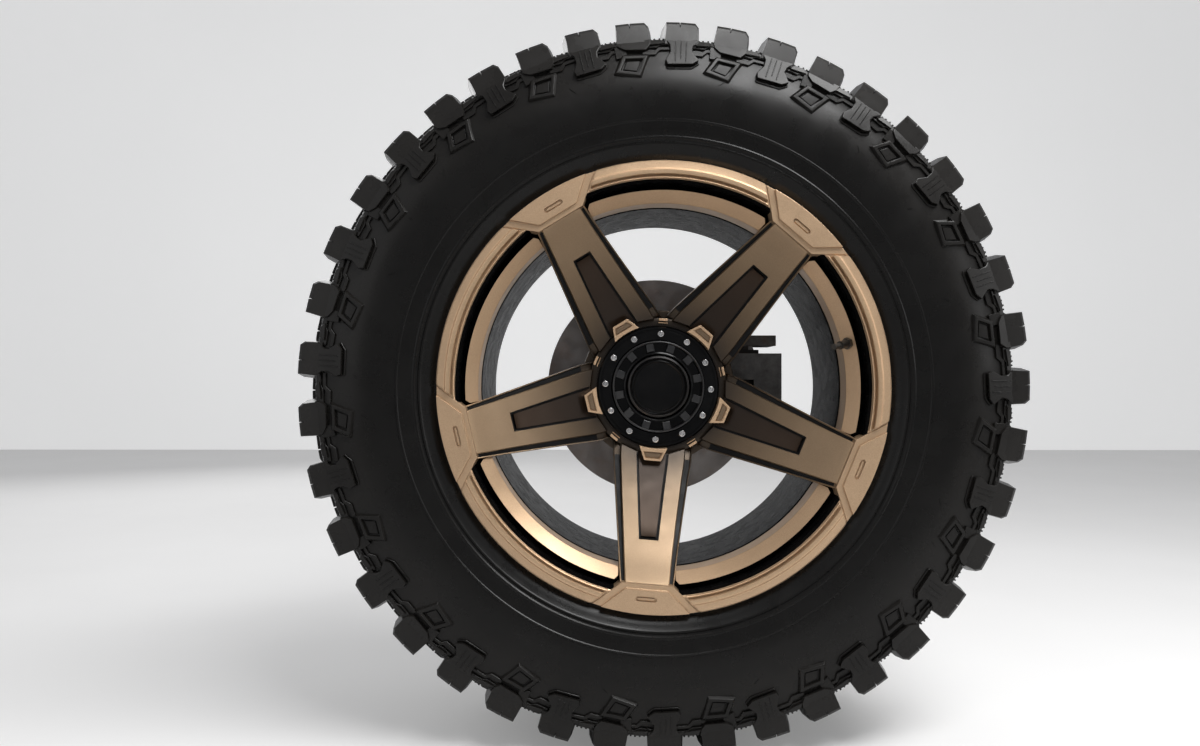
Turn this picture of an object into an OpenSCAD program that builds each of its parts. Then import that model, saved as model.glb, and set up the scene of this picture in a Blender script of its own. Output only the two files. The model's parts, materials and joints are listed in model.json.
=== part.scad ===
// Off-road wheel end: mud-terrain tyre and five-spoke alloy wheel on a driven,
// steered solid-axle knuckle, with its disc brake and the axle's outer yoke.
// +Y points inboard along the axle, +X towards the rear of the vehicle, +Z up.
// The origin is the inboard mouth of the yoke's bore for the axle tube.

/* [Tyre] */
// Outside diameter of the tyre over its tread
tyre_od = 965; // [900:5:1020]
// Section width of the inflated tyre
tyre_w = 343; // [330:1:365]
// Width across the tread, shoulder to shoulder
tread_w = 306; // [290:2:320]
// Thickness of the sidewall
sidewall_t = 15; // [11:1:18]
// Thickness under the tread, lugs included
crown_t = 34; // [26:1:40]

/* [Rim] */
// Diameter at the bead seats
bead_d = 558.8; // [550:0.2:566]
// Width between the flanges
rim_w = 304.8; // [296:0.2:320]
// Height of a flange above the bead seat
flange_h = 17.9; // [15:0.1:20]
// How far the mounting face lies inboard of the rim's centre line
back_set = 44; // [36:1:50]
// Wall of the barrel
barrel_t = 10; // [7:0.5:12]
// Depth of the drop centre below the bead seats
well_drop = 24; // [18:1:26]
// Thickness of the bright lip in front of the outer flange
lip_t = 8; // [6:0.5:12]
// Width of the flat lip
lip_w = 24; // [20:1:28]

/* [Spokes] */
// Number of spokes and of wheel nuts
spokes = 5; // [5:1:6]
// Clockwise turn of the first spoke from straight up, seen from outside
spoke_turn = 40.7; // [0:0.1:72]
// Width of a spoke's face at the hub
spoke_root_w = 94; // [80:1:100]
// Width of a spoke's face at the lip
spoke_tip_w = 57; // [46:1:66]
// Depth of a spoke, front to back
spoke_depth = 42; // [34:1:46]
// Height of a spoke's front at the hub above the mounting face
root_z = 84; // [80:1:92]
// Slope of a spoke's front where it leaves the hub
root_slope = 0.49; // [0.3:0.01:0.6]
// Depth of the long pocket in a spoke's face
pocket_depth = 8; // [5:1:12]

/* [Hub and cap] */
// Radius of the wheel's hub
hub_r = 100; // [98:1:106]
// Radius of the bolted centre cap
cap_r = 87; // [84:1:90]
// Bolts around the cap
cap_bolts_n = 12; // [8:1:12]
// Circle of the wheel studs
stud_pcd = 127; // [120:0.5:132]
// Diameter of a wheel stud
stud_d = 14; // [12:0.5:16]
// Diameter of the hub's centring pilot
pilot_d = 71.5; // [66:0.5:74]

/* [Brake] */
// Diameter of the disc
disc_d = 330; // [310:2:340]
// Thickness of the vented disc
disc_t = 28; // [22:1:30]
// Inside diameter of the disc's rubbing faces
disc_inner_d = 204; // [200:2:208]
// Cooling vanes between the disc's two faces
vanes = 36; // [24:1:48]
// Running gap between a pad and the disc
pad_gap = 0.4; // [0.3:0.1:0.6]
// Thickness of a pad with its backing plate
pad_t = 16; // [12:0.5:17]

/* [Steering] */
// Distance of the wheel's mounting face outboard of the steering axis
face_to_pivot = 134; // [132:1:140]
// Lean of the steering axis, its top inboard
pivot_lean = 6; // [4:0.5:7]
// Inboard distance from the steering axis to the mouth of the axle yoke
pivot_to_mouth = 125; // [120:1:135]
// Bore of the axle yoke for the axle tube
tube_bore_d = 80; // [76:0.5:84]
// Wall of the yoke's tube socket
socket_wall = 13; // [10:1:16]
// Bore of the steering arm for the tie-rod end's stud
tie_bore_d = 18; // [14:0.5:20]

/* [Hidden] */
fine = 96;
medium = 48;
gap = 0.3;
fit = 0.05;
running = 0.08;

// Places along the axle, +Y inboard, from the yoke's mouth
pivot_y = -pivot_to_mouth;
face_y = pivot_y - face_to_pivot;

// Rim, as heights outboard of the mounting face
flange_t = 4;
seat_w = 24;
seat_r = bead_d / 2;
well_r = seat_r - well_drop;
lip_r = seat_r + flange_h;
out_seat = back_set + rim_w / 2;
in_seat = back_set - rim_w / 2;
ring_z = out_seat + flange_t;
lip_z = ring_z + lip_t;
rear_z = in_seat - flange_t - lip_t;
out_ramp = out_seat - seat_w;
out_ramp_h = 34;
in_ramp = in_seat + seat_w;
in_ramp_h = 60;
barrel_in = seat_r - barrel_t;
well_in = well_r - barrel_t;

// The bronze ledge between the spokes, from its outer edge to its inner one
lip_in_r = lip_r - lip_w;
ledge_out = [barrel_in - 8, lip_z - 19];
ledge_in = [well_in + 1, lip_z - 36];

// Spokes: the front is a curve from the hub to the lip
root_r = 97;
tip_r = lip_in_r - 7;
tip_z = lip_z - 6;
root_flare_r = 60;
root_flare = 8;
bow = (tip_z - root_z - root_slope * (tip_r - root_r)) / pow(tip_r - root_r, 2);
pocket_r = [108, 208];
pocket_w = [43, 26];
lip_pad_w = 97;
lip_pad_t = 33;
tab_w = [47, 30];
tab_len = 21;
tab_rise = 8;

// Hub, cap and fasteners
cap_z = 70;
cap_t = 10;
nut_seat_z = 22;
nut_socket_r = 15;
nut_well_r = 42;
nut_r = 12.2;
nut_h = 22;
stud_r = stud_d / 2;
stud_head_h = 6;
stud_circle = stud_pcd / 2;
pilot_r = pilot_d / 2;
hat_t = 7;
hat_r = 84;
plate_r = 76;
plate_t = 13;
plate_in = -hat_t - plate_t;

// Disc, bearing and shaft, below the mounting face
disc_r = disc_d / 2;
disc_inner_r = disc_inner_d / 2;
disc_out = -30;
disc_in = disc_out - disc_t;
face_t = 9;
vane_t = 4;
sleeve_r = 28;
shaft_r = 17;
nose_r = 40;
bearing_r = 47;
bearing_flange_r = 68;
bearing_flange_t = 12;
shield_t = 2;
shield_notch = 90;
knuckle_out = disc_in - 10;
knuckle_t = 26;
knuckle_in = knuckle_out - knuckle_t;
knuckle_r = 74;
bearing_out = knuckle_out + shield_t;
bearing_bolt_circle = 58;
bearing_bolt_r = 6;
bearing_head_r = 10.5;
bearing_head_h = 9;

// Heights on the steering axis: the knuckle's bosses and the yoke's ears
upper_boss = [72, 98];
upper_ear = [103, 131];
lower_ear = [-108, -82];
lower_boss = [-140, -113];
boss_r = 26;
ear_r = 28;
ball_r = 20;
ball_stud_r = 9;
ball_cap_r = 13;
ball_nut_r = 15;
ball_nut_h = 14;

// Brake caliper, turned clockwise from straight up; u is along the disc, r outward
caliper_turn = 90;
pad_r = [108, 160];
pad_u = 56;
pad_ear_r = [126, 144];
pad_back_t = 6;
bracket_u = [62, 78];
bracket_bar_r = [80, 100];
bracket_t = 14;
bracket_seat_d = 22;
bracket_out = disc_out + 6;
bracket_in = disc_in - 6;
bridge_r = [disc_r + 6, disc_r + 21];
body_u = 50;
body_in = -128;
pin_r = 6;
pin_place = [70, 150];
hose_r = 5;
hose_depth = 16;

// Steering arm and its tie-rod bore, in the vehicle's frame
tie_x = -155;
tie_y = pivot_y + 15;
tie_z = [-44, -16];

// The wheel's own frame: Z outboard from the mounting face, Y up, X to the rear
module in_wheel() translate([0, face_y, 0]) rotate([90, 0, 0]) children();

// The steering axis as Z, with its foot on the axle line
module on_pivot() translate([0, pivot_y, 0]) rotate([-pivot_lean, 0, 0]) children();

// Copies around the wheel, the first one turned clockwise from straight up
module around(n, turn = 0) for (k = [0 : n - 1]) rotate([0, 0, -turn - k * 360 / n]) children();

module ring(r_out, r_in, z0, z1) translate([0, 0, z0]) difference() {
    cylinder(r = r_out, h = z1 - z0, $fn = fine);
    translate([0, 0, -1]) cylinder(r = r_in, h = z1 - z0 + 2, $fn = fine);
}

module disc(r, z0, z1, sides = fine) translate([0, 0, z0]) cylinder(r = r, h = z1 - z0, $fn = sides);

module block(x0, x1, y0, y1, z0, z1) translate([x0, y0, z0]) cube([x1 - x0, y1 - y0, z1 - z0]);

// Both sides of the middle plane
module pair() {
    children();
    mirror([1, 0, 0]) children();
}

// A tapered slab from radius r0, w0 wide, to radius r1, w1 wide
module taper(r0, w0, r1, w1, z0, z1) translate([0, 0, z0]) linear_extrude(z1 - z0)
    polygon([[-w0 / 2, r0], [w0 / 2, r0], [w1 / 2, r1], [-w1 / 2, r1]]);

// An outline of radius and height, drawn across the X axis w wide
module across(w, points) rotate([90, 0, 90]) translate([0, 0, -w / 2]) linear_extrude(w)
    polygon(points);

// ------------------------------------------------------------- wheel and tyre

// Half of the tyre's outline, bead to crown: radius, distance from the middle plane
function outer_half() = let (half = tyre_w / 2, top = tyre_od / 2) [
    [seat_r + gap, rim_w / 2 - gap - 5],
    [seat_r + gap + 5, rim_w / 2 - gap],
    [lip_r + 3, rim_w / 2 - gap],
    [lip_r + 10, rim_w / 2 + 8],
    [lip_r + 38, half - 4],
    [lip_r + 76, half],
    [top - 70, half - 4],
    [top - 34, tread_w / 2 + 9],
    [top - 10, tread_w / 2 + 1],
    [top, tread_w / 2 - 12]];

function inner_half() = let (half = tyre_w / 2 - sidewall_t, top = tyre_od / 2 - crown_t) [
    [seat_r + gap, rim_w / 2 - seat_w + 2],
    [lip_r + 10, rim_w / 2 - sidewall_t],
    [lip_r + 40, half - 4],
    [lip_r + 76, half],
    [top - 42, half - 6],
    [top - 12, tread_w / 2 - sidewall_t],
    [top, tread_w / 2 - 40]];

function flipped(points) = [for (k = [len(points) - 1 : -1 : 0]) [points[k][0], -points[k][1]]];
function backwards(points) = [for (k = [len(points) - 1 : -1 : 0]) points[k]];
function lowered(points) = [for (p = points) [p[0], -p[1]]];

module tyre() color([0.05, 0.05, 0.05]) in_wheel() translate([0, 0, back_set])
    rotate_extrude($fn = fine) polygon(concat(
        outer_half(), flipped(outer_half()), lowered(inner_half()), backwards(inner_half())));

module rim_barrel() color([0.03, 0.03, 0.03]) in_wheel() rotate_extrude($fn = fine) polygon([
    [lip_r, ring_z], [lip_r, out_seat], [seat_r + 4, out_seat], [seat_r, out_seat - 4],
    [seat_r, out_ramp], [well_r, out_ramp - out_ramp_h],
    [well_r, in_ramp + in_ramp_h], [seat_r, in_ramp],
    [seat_r, in_seat + 4], [seat_r + 4, in_seat], [lip_r, in_seat],
    [lip_r, rear_z + 3], [lip_r - 3, rear_z], [barrel_in, rear_z],
    [barrel_in, in_ramp], [well_in, in_ramp + in_ramp_h],
    [well_in, out_ramp - out_ramp_h], [barrel_in, out_ramp], [barrel_in, ring_z]]);

// Height of a spoke's front at a radius
function spoke_front(r) = root_z + root_slope * (r - root_r) + bow * pow(r - root_r, 2);

// The front curve between two radii, lowered by a depth
function front_curve(r0, r1, down) =
    [for (k = [0 : 8]) let (r = r0 + (r1 - r0) * k / 8) [r, spoke_front(r) - down]];

module spoke() intersection() {
    taper(root_flare_r, spoke_root_w + root_flare, tip_r + 2, spoke_tip_w, 0, lip_z);
    across(2 * hub_r, concat(front_curve(root_flare_r, tip_r + 2, 0),
                             backwards(front_curve(root_flare_r, tip_r + 2, spoke_depth))));
}

module spoke_pocket() intersection() {
    taper(pocket_r[0], pocket_w[0], pocket_r[1], pocket_w[1], 0, lip_z);
    across(2 * hub_r, concat(front_curve(pocket_r[0] - 2, pocket_r[1] + 2, pocket_depth),
                             backwards(front_curve(pocket_r[0] - 2, pocket_r[1] + 2, -spoke_depth))));
}

// The flared pad that carries a spoke's end up to the lip
module lip_pad()
    taper(ledge_in[0] + 12, spoke_tip_w, lip_in_r + 1, lip_pad_w, lip_z - lip_pad_t, lip_z);

module ledge() rotate_extrude($fn = fine) polygon([
    ledge_out, ledge_in,
    [ledge_in[0], out_ramp - out_ramp_h + 2], [ledge_out[0], out_ramp - 9]]);

// The room that the barrel leaves for the face, with its seat on the outer flange
module face_room() rotate_extrude($fn = fine) polygon([
    [0, -1], [well_in - gap, -1], [well_in - gap, out_ramp - out_ramp_h],
    [barrel_in - gap, out_ramp], [barrel_in - gap, ring_z],
    [lip_r, ring_z], [lip_r, lip_z], [0, lip_z]]);

module wheel_face() color([0.56, 0.47, 0.38]) in_wheel() difference() {
    union() {
        disc(hub_r, 0, cap_z);
        ledge();
        ring(lip_r, lip_in_r, ring_z, lip_z);
        intersection() {
            around(spokes, spoke_turn) {
                spoke();
                lip_pad();
                taper(cap_r - 4, tab_w[0], cap_r + tab_len, tab_w[1], cap_z - 10, root_z + tab_rise);
            }
            face_room();
        }
    }
    disc(cap_r + 1, cap_z, lip_z);
    disc(pilot_r + gap, -1, nut_seat_z + 1);
    disc(nut_well_r, nut_seat_z, cap_z + 1);
    around(spokes, spoke_turn) {
        spoke_pocket();
        translate([0, stud_circle, 0]) disc(stud_r + 0.5, -1, nut_seat_z + 1, medium);
        translate([0, stud_circle, 0]) disc(nut_socket_r, nut_seat_z, cap_z + 1, medium);
    }
    valve_place() disc(valve_r + gap, -60, 10, medium);
}

// A bolted cover with twelve bays round a central boss
bay_r = [50, 64];
bay_w = [16, 20];
boss_top = cap_z + cap_t + 11;
dome_r = 44;
dome_edge = 6;
cap_bolt_circle = 75.8;
cap_bolt_r = 3;
cap_head_h = 5;

module centre_cap() color([0.03, 0.03, 0.03]) in_wheel() difference() {
    union() {
        disc(cap_r, cap_z, cap_z + cap_t);
        disc(bay_r[1], cap_z, boss_top);
    }
    disc(dome_r + gap, cap_z + 4, boss_top + 1);
    around(cap_bolts_n, 0) taper(bay_r[0], bay_w[0], bay_r[1] + 1, bay_w[1], cap_z + cap_t, boss_top + 1);
    around(cap_bolts_n, 0) translate([0, cap_bolt_circle, 0])
        disc(cap_bolt_r + fit, cap_z + 2, cap_z + cap_t + 1, medium);
}

module cap_dome() color([0.03, 0.03, 0.03]) in_wheel() difference() {
    rotate_extrude($fn = fine) polygon([
        [0, cap_z + 4], [dome_r, cap_z + 4], [dome_r, boss_top], [dome_r - 2, boss_top + 3],
        [dome_r - dome_edge, boss_top + 4], [0, boss_top + 4]]);
    disc(dome_r - dome_edge, boss_top + 2, boss_top + 5);
}

module cap_bolts() color([0.7, 0.7, 0.7]) in_wheel() around(cap_bolts_n, 0)
    translate([0, cap_bolt_circle, 0]) {
        disc(cap_bolt_r, cap_z + 2, cap_z + cap_t + 1, medium);
        disc(cap_bolt_r * 2, cap_z + cap_t, cap_z + cap_t + cap_head_h, 6);
    }

// The tyre valve stands square on the ledge, in the middle of a window
valve_turn = 76.7;
valve_r = 5.5;
valve_tip_r = 3.85;
valve_collar_h = 6;
valve_body_h = 20;
valve_h = 34;
module valve_place() rotate([0, 0, -valve_turn])
    translate([0, (ledge_out[0] + ledge_in[0]) / 2, (ledge_out[1] + ledge_in[1]) / 2])
    rotate([atan2(ledge_out[1] - ledge_in[1], ledge_out[0] - ledge_in[0]), 0, 0]) children();

module valve_stem() color([0.2, 0.2, 0.2]) in_wheel() valve_place() {
    disc(valve_r, -8, 1, medium);
    disc(valve_r + 2.5, gap, valve_collar_h, 6);
    disc(valve_r, valve_collar_h, valve_body_h, medium);
    disc(valve_tip_r, valve_body_h, valve_h, medium);
}

module wheel_nuts() color([0.6, 0.6, 0.6]) in_wheel() around(spokes, spoke_turn)
    translate([0, stud_circle, 0]) difference() {
        disc(nut_r, nut_seat_z, nut_seat_z + nut_h, 6);
        disc(stud_r + fit, nut_seat_z - 1, nut_seat_z + nut_h + 1, medium);
    }

module wheel_studs() color([0.5, 0.5, 0.5]) in_wheel() around(spokes, spoke_turn)
    translate([0, stud_circle, 0]) {
        disc(stud_r, plate_in - 1, nut_seat_z + nut_h + 3, medium);
        disc(stud_r + 4, plate_in - stud_head_h, plate_in, medium);
    }

module hub_flange() color([0.35, 0.35, 0.35]) in_wheel() difference() {
    union() {
        disc(plate_r, plate_in, -hat_t);
        disc(pilot_r, -hat_t - 1, nut_seat_z - 4);
        disc(sleeve_r, knuckle_in - 4, plate_in + 1);
    }
    disc(shaft_r + fit, knuckle_in - 5, nut_seat_z);
    around(spokes, spoke_turn) translate([0, stud_circle, 0])
        disc(stud_r + fit, plate_in - 1, 0, medium);
}

module brake_disc() color([0.45, 0.42, 0.4]) in_wheel() {
    difference() {
        union() {
            disc(hat_r, disc_out - 1, 0);
            ring(disc_r, disc_inner_r, disc_out - face_t, disc_out);
            ring(disc_inner_r + 1, hat_r - 5, disc_out - face_t, disc_out);
            ring(disc_r, disc_inner_r, disc_in, disc_in + face_t);
            around(vanes) block(-vane_t / 2, vane_t / 2, disc_inner_r + 2, disc_r - 3,
                                disc_in + face_t - 1, disc_out - face_t + 1);
        }
        disc(plate_r + 1, disc_in, -hat_t);
        disc(pilot_r + gap, -hat_t - 1, 1);
        around(spokes, spoke_turn) translate([0, stud_circle, 0])
            disc(stud_r + 0.5, -hat_t - 1, 1, medium);
    }
}

// ---------------------------------------------------------------- half shaft

axle_nut_r = 24;
axle_nut_h = 16;
fork_gap = 24;
fork_w = 13;
cross_r = 8;
cross_cap_r = 12;
fork_r = 15;
fork_foot_r = 26;

module stub_shaft() color([0.3, 0.3, 0.3]) in_wheel() {
    disc(shaft_r, knuckle_in - 6, nut_seat_z + 18);
    disc(fork_foot_r, knuckle_in - 16, knuckle_in - 5);
    difference() {
        pair() {
            block(fork_gap, fork_gap + fork_w, -fork_r, fork_r, -face_to_pivot, knuckle_in - 12);
            translate([fork_gap, 0, -face_to_pivot]) rotate([0, 90, 0]) disc(fork_r, 0, fork_w, medium);
            block(0, fork_gap + fork_w, -fork_r, fork_r, knuckle_in - 18, knuckle_in - 8);
        }
        translate([0, 0, -face_to_pivot]) rotate([0, 90, 0])
            disc(cross_cap_r + fit, -fork_gap - fork_w - 1, fork_gap + fork_w + 1, medium);
    }
}

module axle_nut() color([0.5, 0.5, 0.5]) in_wheel() difference() {
    union() {
        disc(axle_nut_r + 3, nut_seat_z - 4, nut_seat_z, medium);
        disc(axle_nut_r, nut_seat_z - 1, nut_seat_z + axle_nut_h, 6);
    }
    disc(shaft_r + fit, nut_seat_z - 5, nut_seat_z + axle_nut_h + 1);
}

module joint_cross() color([0.4, 0.4, 0.4]) in_wheel() translate([0, 0, -face_to_pivot])
    for (turn = [0, 90]) rotate([0, 0, turn]) rotate([0, 90, 0]) {
        disc(cross_r, -fork_gap - 8, fork_gap + 8, medium);
        disc(cross_cap_r, -fork_gap - fork_w + 1, -fork_gap + 5, medium);
        disc(cross_cap_r, fork_gap - 5, fork_gap + fork_w - 1, medium);
    }

// -------------------------------------------------------------------- knuckle

arm_in = 34;
arm_w = 68;
arm_t = 30;
web_z = 40;
bolt_well_r = 14;
tie_eye_r = 20;
tie_root_x = -54;

// An arm of the knuckle: a boss on the steering axis and a web out to the ring
module knuckle_arm(span, web_to) on_pivot() {
    disc(boss_r, span[0], span[1], medium);
    translate([0, 0, span[0]]) linear_extrude(span[1] - span[0])
        polygon([[-boss_r + 2, 0], [boss_r - 2, 0], [arm_w / 2, -arm_in], [arm_w / 2, -arm_in - arm_t],
                 [-arm_w / 2, -arm_in - arm_t], [-arm_w / 2, -arm_in]]);
    block(-arm_w / 2, arm_w / 2, -arm_in - arm_t, -arm_in, min(span[0], web_to), max(span[1], web_to));
}

// Two lugs behind the ring take the caliper bracket on their outer ends
module caliper_lugs() rotate([0, 0, -caliper_turn]) pair() translate([0, 0, knuckle_in - 10]) {
    seat = bracket_bar_r[0] - gap;
    u1 = bracket_u[1] - 2;
    top = bracket_bar_r[1] - 1;
    foot = [[24, 66], [52, 54], [u1, seat - 4]];
    linear_extrude(knuckle_t + 8) polygon(concat(foot, [[u1, seat], [24, seat]]));
    linear_extrude(bracket_in - bracket_seat_d - knuckle_in + 10)
        polygon(concat(foot, [[u1, top], [34, top]]));
}

module knuckle() color([0.16, 0.16, 0.16]) difference() {
    union() {
        in_wheel() disc(knuckle_r, knuckle_in, knuckle_out);
        in_wheel() caliper_lugs();
        knuckle_arm(upper_boss, web_z);
        knuckle_arm(lower_boss, -web_z);
        translate([0, 0, tie_z[0]]) linear_extrude(tie_z[1] - tie_z[0]) {
            polygon([[tie_root_x - 2, face_y - knuckle_out], [tie_root_x + 2, face_y - knuckle_in],
                     [tie_x + 6, tie_y + tie_eye_r - 1], [tie_x - 6, tie_y - tie_eye_r + 1]]);
            translate([tie_x, tie_y]) circle(r = tie_eye_r, $fn = medium);
        }
    }
    in_wheel() disc(lip_r, knuckle_out, knuckle_out + 60);
    in_wheel() disc(bearing_r + gap, knuckle_in - 60, knuckle_out + 1);
    in_wheel() around(4, 45) translate([0, bearing_bolt_circle, 0])
        disc(bearing_bolt_r + fit, knuckle_in - 1, knuckle_out + 1, medium);
    in_wheel() around(4, 45) translate([0, bearing_bolt_circle, 0])
        disc(bolt_well_r, knuckle_in - 60, knuckle_in, medium);
    on_pivot() disc(ball_stud_r + running, lower_boss[0] - 1, upper_boss[1] + 1, medium);
    translate([tie_x, tie_y, 0]) disc(tie_bore_d / 2, tie_z[0] - 1, tie_z[1] + 1, medium);
}

module bearing_housing() color([0.4, 0.4, 0.4]) in_wheel() difference() {
    union() {
        disc(bearing_r, knuckle_in, bearing_out + 1);
        disc(bearing_flange_r, bearing_out, bearing_out + bearing_flange_t);
        disc(nose_r, bearing_out + 1, plate_in - 4);
    }
    disc(sleeve_r + running, knuckle_in - 1, 0);
    around(4, 45) translate([0, bearing_bolt_circle, 0])
        disc(bearing_bolt_r + fit, bearing_out - 1, bearing_out + bearing_flange_t + 1, medium);
}

module bearing_bolts() color([0.5, 0.5, 0.5]) in_wheel() around(4, 45)
    translate([0, bearing_bolt_circle, 0]) {
        disc(bearing_bolt_r, knuckle_in - 1, bearing_out + bearing_flange_t, medium);
        disc(bearing_head_r, knuckle_in - bearing_head_h, knuckle_in, 6);
    }

module dust_shield() color([0.2, 0.2, 0.2]) in_wheel() difference() {
    ring(disc_r - 6, bearing_r + gap, knuckle_out, knuckle_out + shield_t);
    around(4, 45) translate([0, bearing_bolt_circle, 0])
        disc(bearing_bolt_r + fit, knuckle_out - 1, bearing_out + 1, medium);
    rotate([0, 0, -caliper_turn])
        block(-shield_notch, shield_notch, bracket_bar_r[0] - 4, 200, knuckle_out - 1, bearing_out + 1);
}

// --------------------------------------------------------------------- brake

module at_caliper() in_wheel() rotate([0, 0, -caliper_turn]) children();

module pad_shape() {
    block(-pad_u, pad_u, pad_r[0], pad_r[1], 0, pad_t);
    block(-bracket_u[0] + gap, bracket_u[0] - gap, pad_ear_r[0], pad_ear_r[1], 0, pad_back_t);
}

module inner_pad() color([0.25, 0.22, 0.2]) at_caliper()
    translate([0, 0, disc_in - pad_gap - pad_t]) pad_shape();

module outer_pad() color([0.25, 0.22, 0.2]) at_caliper()
    translate([0, 0, disc_out + pad_gap + pad_t]) mirror([0, 0, 1]) pad_shape();

module bracket_leg(r0, r1, z0, z1) block(bracket_u[0], bracket_u[1], r0, r1, z0, z1);

module caliper_bracket() color([0.35, 0.33, 0.31]) at_caliper() difference() {
    seat_z = bracket_in - bracket_seat_d;
    union() {
        block(-bracket_u[1], bracket_u[1], bracket_bar_r[0], bracket_bar_r[1],
              seat_z, seat_z + bracket_t - 4);
        pair() {
            bracket_leg(bracket_bar_r[0], bridge_r[1], seat_z, bracket_in);
            bracket_leg(bridge_r[0], bridge_r[1], seat_z, bracket_out + bracket_t);
            bracket_leg(pad_r[0], bridge_r[1], bracket_out, bracket_out + bracket_t);
        }
    }
    at_pins() disc(pin_r + fit, seat_z - 1, bracket_in - 4, medium);
}

// Planes of the caliper's two inner faces, and its guide ears below the inboard one
inboard = disc_in - pad_gap - pad_t - gap;
outboard = disc_out + pad_gap + pad_t + gap;
body_r = bridge_r[1] + 6;
body_t = 18;
finger_t = 17;
finger_gap = 10;
piston_u = 24;
piston_r = 26;
piston_place = 134;
ear_z = [inboard - 30, inboard - 16];
ear_w = 11;

module at_pins() pair() translate([pin_place[0], pin_place[1], 0]) children();

module brake_caliper() color([0.3, 0.3, 0.3]) at_caliper() difference() {
    union() {
        block(-body_u, body_u, pad_r[0] - 2, body_r, inboard - body_t, inboard);
        for (u = [-piston_u, piston_u])
            translate([u, piston_place, 0]) disc(piston_r, body_in, inboard - 10, medium);
        block(-body_u, body_u, bridge_r[0] + 2, body_r, inboard - 1, outboard + 1);
        pair() block(finger_gap, body_u, pad_r[0] + 6, body_r, outboard, outboard + finger_t);
        block(-body_u, body_u, pin_place[1], body_r, outboard, outboard + finger_t);
        pair() block(body_u - 6, bracket_u[1] + 2, pin_place[1] - ear_w, pin_place[1] + ear_w,
                     ear_z[0], ear_z[1]);
    }
    at_pins() disc(pin_r + fit, ear_z[0] - 1, ear_z[1] + 1, medium);
    translate([0, piston_place, 0]) disc(hose_r, body_in - 1, body_in + hose_depth, medium);
}

module guide_pins() color([0.55, 0.55, 0.55]) at_caliper() at_pins() {
    disc(pin_r, ear_z[0] - 1, bracket_in - 5, medium);
    disc(pin_r + 4, ear_z[0] - 8, ear_z[0], 6);
}

// ------------------------------------------------------------ steering joints

// A ball joint pressed into a yoke ear, its stud down through the knuckle's boss
module ball_joint(ear, boss) on_pivot() {
    disc(ball_r, ear[0] - 1.5, ear[1] + 3, medium);
    disc(ball_cap_r, ear[1] + 2, ear[1] + 6, medium);
    disc(ball_stud_r, boss[0] - ball_nut_h - 4, ear[0], medium);
    disc(ball_nut_r, boss[0] - ball_nut_h, boss[0] - gap, 6);
}

module upper_joint() color([0.25, 0.25, 0.25]) ball_joint(upper_ear, upper_boss);
module lower_joint() color([0.25, 0.25, 0.25]) ball_joint(lower_ear, lower_boss);

// An ear of the yoke and the arm back to its plate
module yoke_ear(span) on_pivot() {
    disc(ear_r, span[0], span[1], medium);
    translate([0, 0, span[0]]) linear_extrude(span[1] - span[0])
        polygon([[-ear_r, 0], [ear_r, 0], [ear_root_x, ear_len], [-ear_root_x, ear_len]]);
}

ear_root_x = 44;
ear_len = 62;
socket_r = tube_bore_d / 2 + socket_wall;
yoke_back = pivot_y + 45;
plate_from = 46;
plate_x = 38;
plate_top = 60;
plate_low = -40;

module axle_yoke() color([0.13, 0.13, 0.13]) difference() {
    union() {
        rotate([90, 0, 0]) disc(socket_r, 0, -yoke_back);
        intersection() {
            rotate([90, 0, 0]) translate([0, 0, plate_from]) linear_extrude(-yoke_back - plate_from)
                polygon([[-socket_r, plate_low], [-plate_x, lower_ear[0]],
                         [plate_x, lower_ear[0]], [socket_r, plate_low],
                         [socket_r, plate_top], [plate_x, upper_ear[1]],
                         [-plate_x, upper_ear[1]], [-socket_r, plate_top]]);
            on_pivot() block(-99, 99, 0, 99, lower_ear[0], upper_ear[1]);
        }
        yoke_ear(upper_ear);
        yoke_ear(lower_ear);
    }
    rotate([90, 0, 0]) disc(tube_bore_d / 2, -1, -yoke_back + 1);
    on_pivot() disc(ball_r + fit, upper_ear[0] - 2, upper_ear[1] + 1, medium);
    on_pivot() disc(ball_r + fit, lower_ear[0] - 1, lower_ear[1] + 1, medium);
    rotate([90, 0, 0]) disc(lip_r, -40, 0);
}

tyre();
rim_barrel();
wheel_face();
centre_cap();
cap_dome();
cap_bolts();
valve_stem();
wheel_nuts();
wheel_studs();
hub_flange();
brake_disc();
stub_shaft();
axle_nut();
joint_cross();
knuckle();
bearing_housing();
bearing_bolts();
dust_shield();
caliper_bracket();
brake_caliper();
inner_pad();
outer_pad();
guide_pins();
upper_joint();
lower_joint();
axle_yoke();
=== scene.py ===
"""Off-road wheel end: the mud-terrain tyre, five-spoke wheel, cap, brake and knuckle,
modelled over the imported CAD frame. Pieces of the wheel are drawn in millimetres in the
wheel's own frame, X to the rear, Y up and Z outboard from the mounting face, and then
seated on the axle line."""
import json
import math

import bmesh
import bpy
from mathutils import Matrix, Vector

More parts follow.
